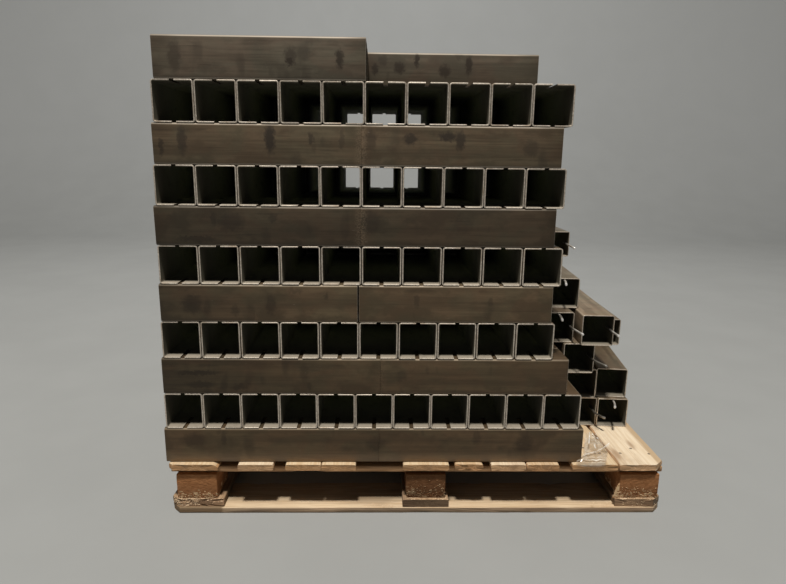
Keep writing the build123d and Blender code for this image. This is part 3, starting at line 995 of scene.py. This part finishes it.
def scale_material(name, light, dark, with_marks):
    """Mill scale that is a little browner in the lower layers, with painted warm light at the foot of the
    lowest, thrown up from the deck.
    """
    material, tree, shader = new_material(name, 0.35, 0.5)
    scale = place_group(tree, mill_scale, {
        "Coord": stored(tree, "tube_coord", "Vector"), "Place": stored(tree, "tube_place", "Vector"),
        "Rub And Highlight": stored(tree, "edge_rub_and_highlight"), "Tone": stored(tree, "tube_tone"),
        "Spatter": stored(tree, "tube_spatter"), "Marks": marked_by_hand(tree) if with_marks else 0.0,
        "Light": light, "Dark": dark, "Smudge": (0.034, 0.024, 0.015), "Bare": (0.44, 0.385, 0.315),
        "Dust": (0.34, 0.25, 0.165),
    })
    height = parts_of(tree, object_coord(tree))["Z"]
    color = mixed(tree, ramp_mask(tree, height, 0.80, 0.16), scale["Color"], (0.93, 0.84, 0.70), "MULTIPLY")
    # Painted light: a warm glow on the foot of the lowest layer, for the light the deck boards throw up onto
    # it.
    color = mixed(tree, ramp_mask(tree, height, 0.150, 0.118, 0.30), color, (0.42, 0.285, 0.175))
    finish_material(tree, shader, color, scale["Height"], 0.25, 0.0004, scale["Roughness"])
    return material


tube_scale = scale_material("tube_mill_scale", (0.154, 0.118, 0.075), (0.076, 0.057, 0.035), True)
top_scale = scale_material("top_layer_mill_scale", (0.150, 0.125, 0.092), (0.078, 0.064, 0.046), True)

bore_material, tree, shader = new_material("tube_bore", 0.0, 0.9, 0.1)
place = parts_of(tree, stored(tree, "tube_place", "Vector"))
# Painted light: the bore grows paler from its mouth inwards, for the light inside the tubes, and its bottom is
# paler just inside the mouth, dust and painted light where the lamp reaches in.
deep = ramp_mask(tree, place["X"], 0.02, 0.20)
lit_strip_near_mouth = ramp_mask(tree, place["X"], 0.028, 0.010, 0.85)
dust_and_painted_light = calc(tree, "MULTIPLY", lit_strip_near_mouth, ramp_mask(tree, place["Z"], -0.032, -0.0375))
speckle = stretched_noise(tree, stored(tree, "tube_coord", "Vector"), (60.0, 90.0, 90.0), 4.0)
color = mixed(tree, deep, (0.075, 0.068, 0.050), (0.66, 0.68, 0.48))
color = mixed(tree, dust_and_painted_light, color, (0.33, 0.285, 0.225))
color = mixed(tree, ramp_mask(tree, speckle, 0.5, 0.8, 0.3), color, (0.06, 0.055, 0.04))
finish_material(tree, shader, color, speckle, 0.3, 0.0006)


def sawn_material(name, first, second, patch):
    """Sawn steel, with saw marks and brown patches."""
    material, tree, shader = new_material(name, 0.6, 0.45)
    coord = stored(tree, "tube_coord", "Vector")
    marks = stretched_noise(tree, coord, (900.0, 500.0, 260.0), 3.0)
    patches = stretched_noise(tree, coord, (30.0, 30.0, 30.0), 3.0)
    color = mixed(tree, ramp_mask(tree, marks, 0.35, 0.7), first, second)
    color = mixed(tree, ramp_mask(tree, patches, 0.5, 0.75, 0.6), color, patch)
    finish_material(tree, shader, color, marks, 0.35, 0.0003, calc(tree, "MULTIPLY_ADD", marks, 0.3, 0.3))
    return material


cut_material = sawn_material("tube_sawn_edge", (0.50, 0.43, 0.35), (0.78, 0.70, 0.60), (0.36, 0.26, 0.17))
# Painted shade: a dark copy of the sawn steel for the slots' cut sides.
shaded_slot_material = sawn_material(
    "tube_slot_edge_shaded", (0.045, 0.037, 0.028), (0.10, 0.085, 0.065), (0.03, 0.024, 0.018)
)


def frame_of(solid):
    """Centre, axis and length of a CAD tube, from its points and its level face normals."""
    corners, normals = solid
    low, high = extent(corners)
    longest, along = 0.0, Vector((0, 1, 0))
    seen = set()
    for normal in normals:
        key = (round(abs(normal.x), 3), round(abs(normal.y), 3))
        if abs(normal.z) > 0.01 or key in seen:
            continue
        seen.add(key)
        reach = [p.dot(normal) for p in corners]
        if max(reach) - min(reach) > longest + 1e-4:
            axis = normal if (normal.y > 0.5 or normal.x > 0.5) else -normal
            longest, along = max(reach) - min(reach), axis.normalized()
    return (low + high) / 2, along, longest


layer_tones = {1: 0.77, 3: 0.86, 5: 1.06, 7: 0.61, 9: 1.06, 11: 1.15}
dim_left = {1: -0.25, 3: 0.35, 5: 0.44, 7: 0.12, 9: 0.10}
joint_spatter = {7: 0.7, 9: 0.35, 3: 0.15}
tight_joints = (1, 3, 7, 9)
for layer in range(1, LAYERS + 1):
    node = "tube_layer_%02d" % layer
    tubes = TubeSet(layer_tones.get(layer, 1.0), dim_left.get(layer, 0.0))
    low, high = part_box(node)
    layer_scale = top_scale if layer == LAYERS else tube_scale
    fill = JOINT_FILL if layer in tight_joints else 0.0
    dust = joint_spatter.get(layer, 0.0)
    for number, solid in enumerate(solids_of(node)):
        centre, axis, length = frame_of(solid)
        runs_back = abs(axis.y) > 0.5
        front = centre.y < (low.y + high.y) / 2
        left = centre.x < (low.x + high.x) / 2
        sides = (TUBE_WIDE if runs_back else TUBE_HIGH, TUBE_HIGH)
        slotted = (runs_back and front, runs_back and not front)
        grow, spatter = ((0.0, fill), (0.0, dust)) if left else ((fill, 0.0), (dust, 0.0))
        tubes.add(centre, axis, length, sides, layer * 100 + number, slotted, grow, spatter)
    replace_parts(tubes.piece(node + "_steel", (layer_scale, bore_material, cut_material, shaded_slot_material)), node)

# Loose pile of tubes
# Square tubes of the next smaller size, put down by hand in the pallet's back right corner. They are the same
# dark steel, given a paler colour as painted light, and lie a little askew on each other.

PILE_SIDE = 0.075
PILE_WALL = 0.0022
PILE_SEED = 2000
# Painted light: the pile's steel is a paler copy of the stack's mill scale, and two of its tubes are paler
# still.
lit_pile_scale = scale_material("pile_mill_scale_lit", (0.23, 0.20, 0.16), (0.115, 0.097, 0.074), False)
pile_light_tones = {"pile_tube_fourth_outer": 1.55, "pile_tube_fifth": 1.3}
pile_nodes = sorted(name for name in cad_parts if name.startswith("pile_tube_"))
for number, node in enumerate(pile_nodes):
    tubes = TubeSet(pile_light_tones.get(node, 1.0), wall=PILE_WALL)
    centre, axis, length = frame_of(solids_of(node)[0])
    tubes.add(centre, axis, length, (PILE_SIDE, PILE_SIDE), PILE_SEED + number)
    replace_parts(tubes.piece(node + "_steel", (lit_pile_scale, bore_material, cut_material, shaded_slot_material)), node)

# Rods in the tube ends
# Eight plain round bars, pushed into tube ends of the pile, where they lie on a wall and stand out of the
# front. Each is bent a little to its own side there, and its cropped tip is bright and spread by the shears.
# Painted shade darkens them inside the tubes, and two of them all along.

ROD_SIDES = 12
ROD_STOPS = 12
ROD_INSIDE = 0.040
TIP_STOPS = ((0.0, 0.50), (0.0006, 1.05), (0.002, 1.22), (0.005, 1.12))
TAIL_STOPS = ((0.002, 1.0), (0.0006, 0.8), (0.0, 0.35))
SHADED_RODS = (3, 4)
ROD_BENDS = (
    (-0.002, -0.005, 0.012), (-0.004, -0.004, 0.012), (0.010, -0.001, 0.005), (0.017, 0.000, 0.006),
    (0.012, 0.002, 0.018), (0.002, 0.001, 0.000), (0.011, -0.007, 0.000), (-0.010, 0.001, 0.014),
)
rod_material, tree, shader = new_material("rod_bright_bar", 0.55, 0.34)
place = parts_of(tree, stored(tree, "tube_place", "Vector"))
grain = stretched_noise(tree, stored(tree, "tube_coord", "Vector"), (40.0, 300.0, 300.0), 3.0)
color = mixed(tree, ramp_mask(tree, grain, 0.35, 0.7), (0.46, 0.42, 0.37), (0.84, 0.80, 0.73))
color = mixed(tree, ramp_mask(tree, place["X"], 0.012, 0.002), color, (0.97, 0.94, 0.90))
# Painted shade: each rod is darkened where it lies inside its tube.
color = mixed(tree, ramp_mask(tree, place["X"], 0.030, 0.050, 0.85), color, (0.05, 0.045, 0.035))
# Painted shade: two of the rods are darkened all along, where they lie in shadow.
color = mixed(tree, calc(tree, "MULTIPLY", place["Y"], 0.75), color, (0.13, 0.115, 0.09))
finish_material(tree, shader, color, grain, 0.2, 0.0002)


def make_rods(node):
    """Each rod's bend is how far its tip is moved along X and Z, and how much shorter it is than in CAD."""
    points, faces, coords, places = [], [], [], []
    for number, (corners, normals) in enumerate(solids_of(node)):
        centre, axis, length = frame_of((corners, normals))
        low, high = extent(corners)
        radius = (high.z - low.z) / 2
        side = Vector((-axis.y, axis.x, 0.0))
        bend_x, bend_z, short = ROD_BENDS[number]
        outside = length - ROD_INSIDE - short
        base = len(points)
        stops = [(short + s, share) for s, share in TIP_STOPS]
        stops += [(short + (length - short) * k / ROD_STOPS, 1.0) for k in range(2, ROD_STOPS)]
        stops += [(length - s, share) for s, share in TAIL_STOPS]
        for s, share in stops:
            out = max(0.0, 1 - (s - short) / outside)
            middle = centre + axis * (s - length / 2) + Vector((bend_x, 0.0, bend_z)) * out ** 1.5
            for across, up in circle(ROD_SIDES):
                r = radius * share * (1.0 + 0.04 * noise.noise(Vector((s * 200, across * 2, number))))
                point = middle + side * (r * across)
                point.z += r * up
                points.append(tuple(point))
                coords.append((s + number, r * across, r * up))
                places.append((s - short, 1.0 if number in SHADED_RODS else 0.0, 0.0))
        faces += ring_faces(base, len(stops), ROD_SIDES)
        faces += [tuple(range(start, start + ROD_SIDES)) for start in (base, len(points) - ROD_SIDES)]
    piece = finish_mesh("end_rods_bar", points, faces, (rod_material,),
                        {"tube_coord": coords, "tube_place": places})
    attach(piece, "root")
    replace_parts(piece, node)


make_rods("end_rods")

# Scrap of stretch film
# A torn piece of clear wrapping film, crumpled against the end of the lowest tubes. It is thin and glossy,
# stands up in a few large folds, and is whitish along them and where it is gathered at its front. Painted
# highlights and glints lie on some folds, and painted shadows beside them.

FILM_SPLITS = 9
FILM_FOLDS = (
    ((-15, -4, -1), (3, -4, -3), (23, -4, -4), (38, -4, -3), (49, -4, 0)),
    ((-17, -2, 4), (0, -3, 6), (20, -3, 5), (38, -3, 6), (51, -2, 7)),
    ((-16, 4, 7), (0, 5, 10), (21, 6, 9), (39, 6, 9), (54, 5, 9)),
    ((-12, 8, 7), (8, 12, 9), (28, 14, 10), (43, 14, 11), (58, 14, 10)),
    ((-5, 8, 12), (9, 16, 17), (33, 24, 19), (52, 34, 21), (80, 62, 22)),
    ((7, 24, 14), (22, 34, 16), (38, 34, 17), (55, 48, 15), (72, 60, 10)),
    ((20, 60, 15), (33, 64, 19), (44, 58, 18), (62, 78, 17), (76, 84, 8)),
    ((33, 95, 17), (45, 96, 21), (54, 94, 19), (67, 100, 14), (77, 104, 6)),
    ((49, 130, 12), (57, 128, 16), (64, 126, 15), (75, 130, 9), (82, 132, 3)),
)
# Fold lines where the film whitens, some of them painted highlights and glints.
FILM_CREASES_AND_GLINTS = (
    (1.10, ((4.0, 0.2), (4.0, 1.0), (4.0, 1.8))),
    (0.80, ((4.0, 1.8), (4.0, 3.0))),
    (0.95, ((4.0, 3.0), (4.0, 4.0))),
    (0.55, ((3.75, 0.8), (3.85, 1.6), (3.7, 2.4))),
    (0.95, ((2.0, 0.4), (2.15, 1.0), (1.95, 1.5), (2.1, 2.0), (1.9, 2.5), (2.1, 3.0), (2.0, 3.6))),
    (0.60, ((3.0, 0.2), (2.8, 1.0), (3.2, 1.6), (2.9, 2.2), (3.1, 3.0))),
    (1.30, ((8.0, 1.0), (7.0, 1.0), (6.1, 1.0))),
    (0.50, ((6.1, 1.0), (5.6, 0.6), (5.2, 0.3))),
    (1.30, ((6.0, 1.95), (5.4, 2.1))),
    (1.20, ((7.7, 1.8), (7.5, 2.3), (7.1, 2.7), (6.8, 3.1))),
    (1.00, ((7.1, 1.7), (7.0, 2.1), (6.6, 2.5))),
    (0.80, ((7.9, 2.7), (7.6, 3.1), (7.3, 3.6))),
    (0.35, ((4.0, 4.0), (3.4, 3.7), (2.6, 3.7))),
    (0.45, ((4.6, 2.2), (4.5, 3.0), (4.2, 3.9))),
)
FILM_SHADES = (
    (0.75, ((3.66, 0.3), (3.66, 1.0), (3.66, 2.0), (3.66, 3.0), (3.5, 3.8))),
    (0.50, ((4.35, 0.6), (4.35, 1.0), (4.35, 2.0), (4.35, 3.0))),
    (0.95, ((1.60, 0.2), (1.70, 1.0), (1.50, 1.5), (1.65, 2.0), (1.45, 2.5), (1.65, 3.0), (1.6, 3.8))),
    (0.60, ((2.5, 0.3), (2.45, 1.0), (2.6, 2.0), (2.45, 3.2))),
    (0.60, ((0.25, 0.2), (0.25, 2.0), (0.25, 3.8))),
    (0.50, ((8.0, 1.4), (7.0, 1.4), (6.2, 1.3))),
    (1.10, ((7.4, 1.8), (7.2, 2.3), (6.8, 2.8))),
    (1.00, ((7.8, 2.4), (7.5, 2.8), (7.1, 3.3))),
    (0.70, ((4.5, 3.9), (5.0, 3.9), (6.0, 3.9))),
    (0.50, ((5.9, 2.4), (5.4, 2.5))),
)
CREASE_REACH = 0.21
FADE_REACH = 0.5
HIGH_FOLD = 14.0
BOARD_EDGE_Y = -2.5
film_material, tree, shader = new_material("clear_stretch_film", 0.0, 0.20, 0.8)
film_coord = stored(tree, "film_coord", "Vector")
haze = stretched_noise(tree, film_coord, (45.0, 45.0, 45.0), 4.0)
veins = stretched_noise(tree, film_coord, (190.0, 60.0, 90.0), 3.0, 0.5, 1.2)
broken_up = stretched_noise(tree, film_coord, (130.0, 130.0, 130.0), 2.0)
crease_and_glint = calc(tree, "MULTIPLY", stored(tree, "film_crease_and_glint"), calc(tree, "MULTIPLY_ADD", broken_up, 1.3, 0.22))
shade = calc(tree, "MULTIPLY", stored(tree, "film_shade"), calc(tree, "MULTIPLY_ADD", veins, 0.6, 0.7))
color = mixed(tree, ramp_mask(tree, haze, 0.38, 0.64), (0.50, 0.40, 0.29), (0.76, 0.67, 0.55))
color = mixed(tree, ramp_mask(tree, shade, 0.10, 0.60), color, (0.17, 0.115, 0.07))
# Whitened folds, with painted highlights and glints on them.
color = mixed(tree, ramp_mask(tree, crease_and_glint, 0.15, 0.65), color, (1.0, 0.96, 0.88))
body = calc(tree, "MULTIPLY_ADD", ramp_mask(tree, haze, 0.40, 0.65), 0.22, 0.34)
body = calc(tree, "MULTIPLY", body, stored(tree, "film_body"))
alpha = calc(tree, "MAXIMUM", body, calc(tree, "MAXIMUM", crease_and_glint, calc(tree, "MULTIPLY", shade, 0.9)))
feed(tree, shader.inputs["Alpha"], calc(tree, "MINIMUM", alpha, 0.94))
finish_material(tree, shader, color, veins, 0.25, 0.0015)


def nearness(row, column, lines):
    """How near a place in the grid of folds is to lines with strengths: a line's strength on it, and 0 from
    CREASE_REACH away."""
    here = Vector((row, column))
    strongest = 0.0
    for strength, line in lines:
        closest = CREASE_REACH
        for start, end in zip(line[:-1], line[1:]):
            start, along = Vector(start), Vector(end) - Vector(start)
            share = max(0.0, min(1.0, (here - start).dot(along) / along.length_squared))
            closest = min(closest, (here - start - along * share).length)
        strongest = max(strongest, strength * (1 - closest / CREASE_REACH))
    return strongest


def make_film(node):
    """The sheet on its grid of folds, in millimetres from the low corner of the CAD lump's box. Past the
    board's front edge it may hang below the board's top."""
    low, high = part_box(node)
    points, coords, creases_and_glints, shades, bodies = [], [], [], [], []
    rows, columns = len(FILM_FOLDS) - 1, len(FILM_FOLDS[0]) - 1
    wide = columns * FILM_SPLITS + 1
    for r in range(rows * FILM_SPLITS + 1):
        row = min(r // FILM_SPLITS, rows - 1)
        v = r / FILM_SPLITS - row
        for c in range(wide):
            column = min(c // FILM_SPLITS, columns - 1)
            u = c / FILM_SPLITS - column
            (a, b), (d, e) = ([Vector(point) for point in FILM_FOLDS[row + k][column:column + 2]]
                              for k in (0, 1))
            at = a.lerp(b, u).lerp(d.lerp(e, u), v)
            slack = math.sin(math.pi * u) * math.sin(math.pi * v)
            wrinkle = 1 - 2 * abs(noise.noise(Vector((at.x, at.y, 3.0)) / 14.0))
            lift = at.z * (1 - 0.16 * slack) + 1.6 * wrinkle * max(0.0, min(1.0, at.z / HIGH_FOLD))
            at.z = lift if at.y < BOARD_EDGE_Y else max(0.7, lift)
            points.append(tuple(low + at / 1000))
            coords.append((at.x / 1000, at.y / 1000, at.z / 1000))
            creases_and_glints.append(nearness(row + v, column + u, FILM_CREASES_AND_GLINTS))
            shades.append(nearness(row + v, column + u, FILM_SHADES))
            from_edge = min(row + v, rows - row - v, column + u, columns - column - u)
            bodies.append(min(1.0, 0.25 + from_edge / FADE_REACH))
    starts = [r * wide + c for r in range(rows * FILM_SPLITS) for c in range(wide - 1)]
    faces = [(i, i + 1, i + wide + 1, i + wide) for i in starts]
    stored_values = {"film_coord": coords, "film_crease_and_glint": creases_and_glints, "film_shade": shades, "film_body": bodies}
    piece = finish_mesh("film_scrap_sheet", points, faces, (film_material,), stored_values, smooth_angle=25.0)
    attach(piece, "root")
    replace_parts(piece, node)


make_film("film_scrap")

# Floor, backdrop, lamps and camera
# A plain pale studio floor that curves up behind the load, a soft lamp high above its front, a second one for
# the backdrop, and even light from all sides. The camera stands at the photograph's place.

FLOOR_HALF = 14.0
BACK_Y = 7.0
BACK_HIGH = 9.0
BEND_R = 3.0
BEND_STEPS = 16
floor_material, tree, shader = new_material("studio_floor", 0.0, 0.9, 0.1)
coord = object_coord(tree)
mottle = stretched_noise(tree, coord, (3.0, 3.0, 3.0), 4.0)
near_floor = mixed(tree, ramp_mask(tree, mottle, 0.3, 0.7), (0.318, 0.324, 0.318), (0.332, 0.338, 0.332))
far_floor = ramp_mask(tree, vector_calc(tree, "LENGTH", coord), 5.0, 13.0)
feed(tree, shader.inputs["Base Color"], mixed(tree, far_floor, near_floor, (0.66, 0.672, 0.668)))
profile = [(-FLOOR_HALF, 0.0), (BACK_Y - BEND_R, 0.0)]
profile += [(BACK_Y - BEND_R + BEND_R * math.sin(a), BEND_R - BEND_R * math.cos(a))
            for a in (math.pi / 2 * k / BEND_STEPS for k in range(1, BEND_STEPS + 1))]
profile.append((BACK_Y, BACK_HIGH))
points = [(x, y, z) for y, z in profile for x in (-FLOOR_HALF, FLOOR_HALF)]
faces = [(2 * k, 2 * k + 1, 2 * k + 3, 2 * k + 2) for k in range(len(profile) - 1)]
floor = finish_mesh("studio_floor", points, faces, (floor_material,), {})
floor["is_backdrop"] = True


def add_lamp(name, size, energy, color, place, target):
    lamp = bpy.data.lights.new(name, "AREA")
    lamp.shape = "SQUARE"
    lamp.size = size
    lamp.energy = energy
    lamp.color = color
    holder = bpy.data.objects.new(name, lamp)
    holder.location = place
    holder.rotation_euler = (Vector(target) - Vector(place)).to_track_quat("-Z", "Y").to_euler()
    bpy.context.scene.collection.objects.link(holder)


add_lamp("high_lamp", 0.6, 745.0, (1.0, 0.965, 0.91), (-0.52, -2.72, 8.0), (0.0, -0.5, 0.5))
add_lamp("backdrop_lamp", 4.0, 80.0, (1.0, 1.0, 1.0), (0.0, 2.6, 4.6), (0.0, 7.0, 1.2))

world = bpy.data.worlds.new("even_light")
bpy.context.scene.world = world
world.use_nodes = True
tree = world.node_tree
even = tree.nodes["Background"]
feed(tree, even.inputs["Color"], (1.0, 1.0, 0.98))
feed(tree, even.inputs["Strength"], 0.11)
seen = add_node(tree, "Background", {"Color": (0.45, 0.45, 0.45), "Strength": 1.0})
path = add_node(tree, "LightPath").outputs
direct = calc(tree, "MAXIMUM", path["Is Camera Ray"], path["Is Transmission Ray"])
blend = add_node(tree, "MixShader", {0: direct, 1: even.outputs[0], 2: seen.outputs[0]})
feed(tree, tree.nodes["World Output"].inputs["Surface"], blend.outputs[0])

PHOTO_WIDTH_PX = 786
FOCAL_PX = 590.5
SENSOR = 36.0
CAMERA_PLACE = (-0.0862, -1.7301, 0.7717)
YAW, PITCH, ROLL = (math.radians(a) for a in (1.179, 12.663, -0.620))
view = bpy.data.cameras.new("photo_camera")
view.sensor_width = SENSOR
view.lens = FOCAL_PX * SENSOR / PHOTO_WIDTH_PX
view.clip_end = 100.0
camera = bpy.data.objects.new("photo_camera", view)
turn = Matrix.Rotation(-YAW, 4, "Z") @ Matrix.Rotation(math.pi / 2 - PITCH, 4, "X")
camera.matrix_world = Matrix.Translation(CAMERA_PLACE) @ (turn @ Matrix.Rotation(-ROLL, 4, "Z"))
bpy.context.scene.collection.objects.link(camera)
bpy.context.scene.camera = camera
bpy.context.scene.view_settings.view_transform = "Standard"

low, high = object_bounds()
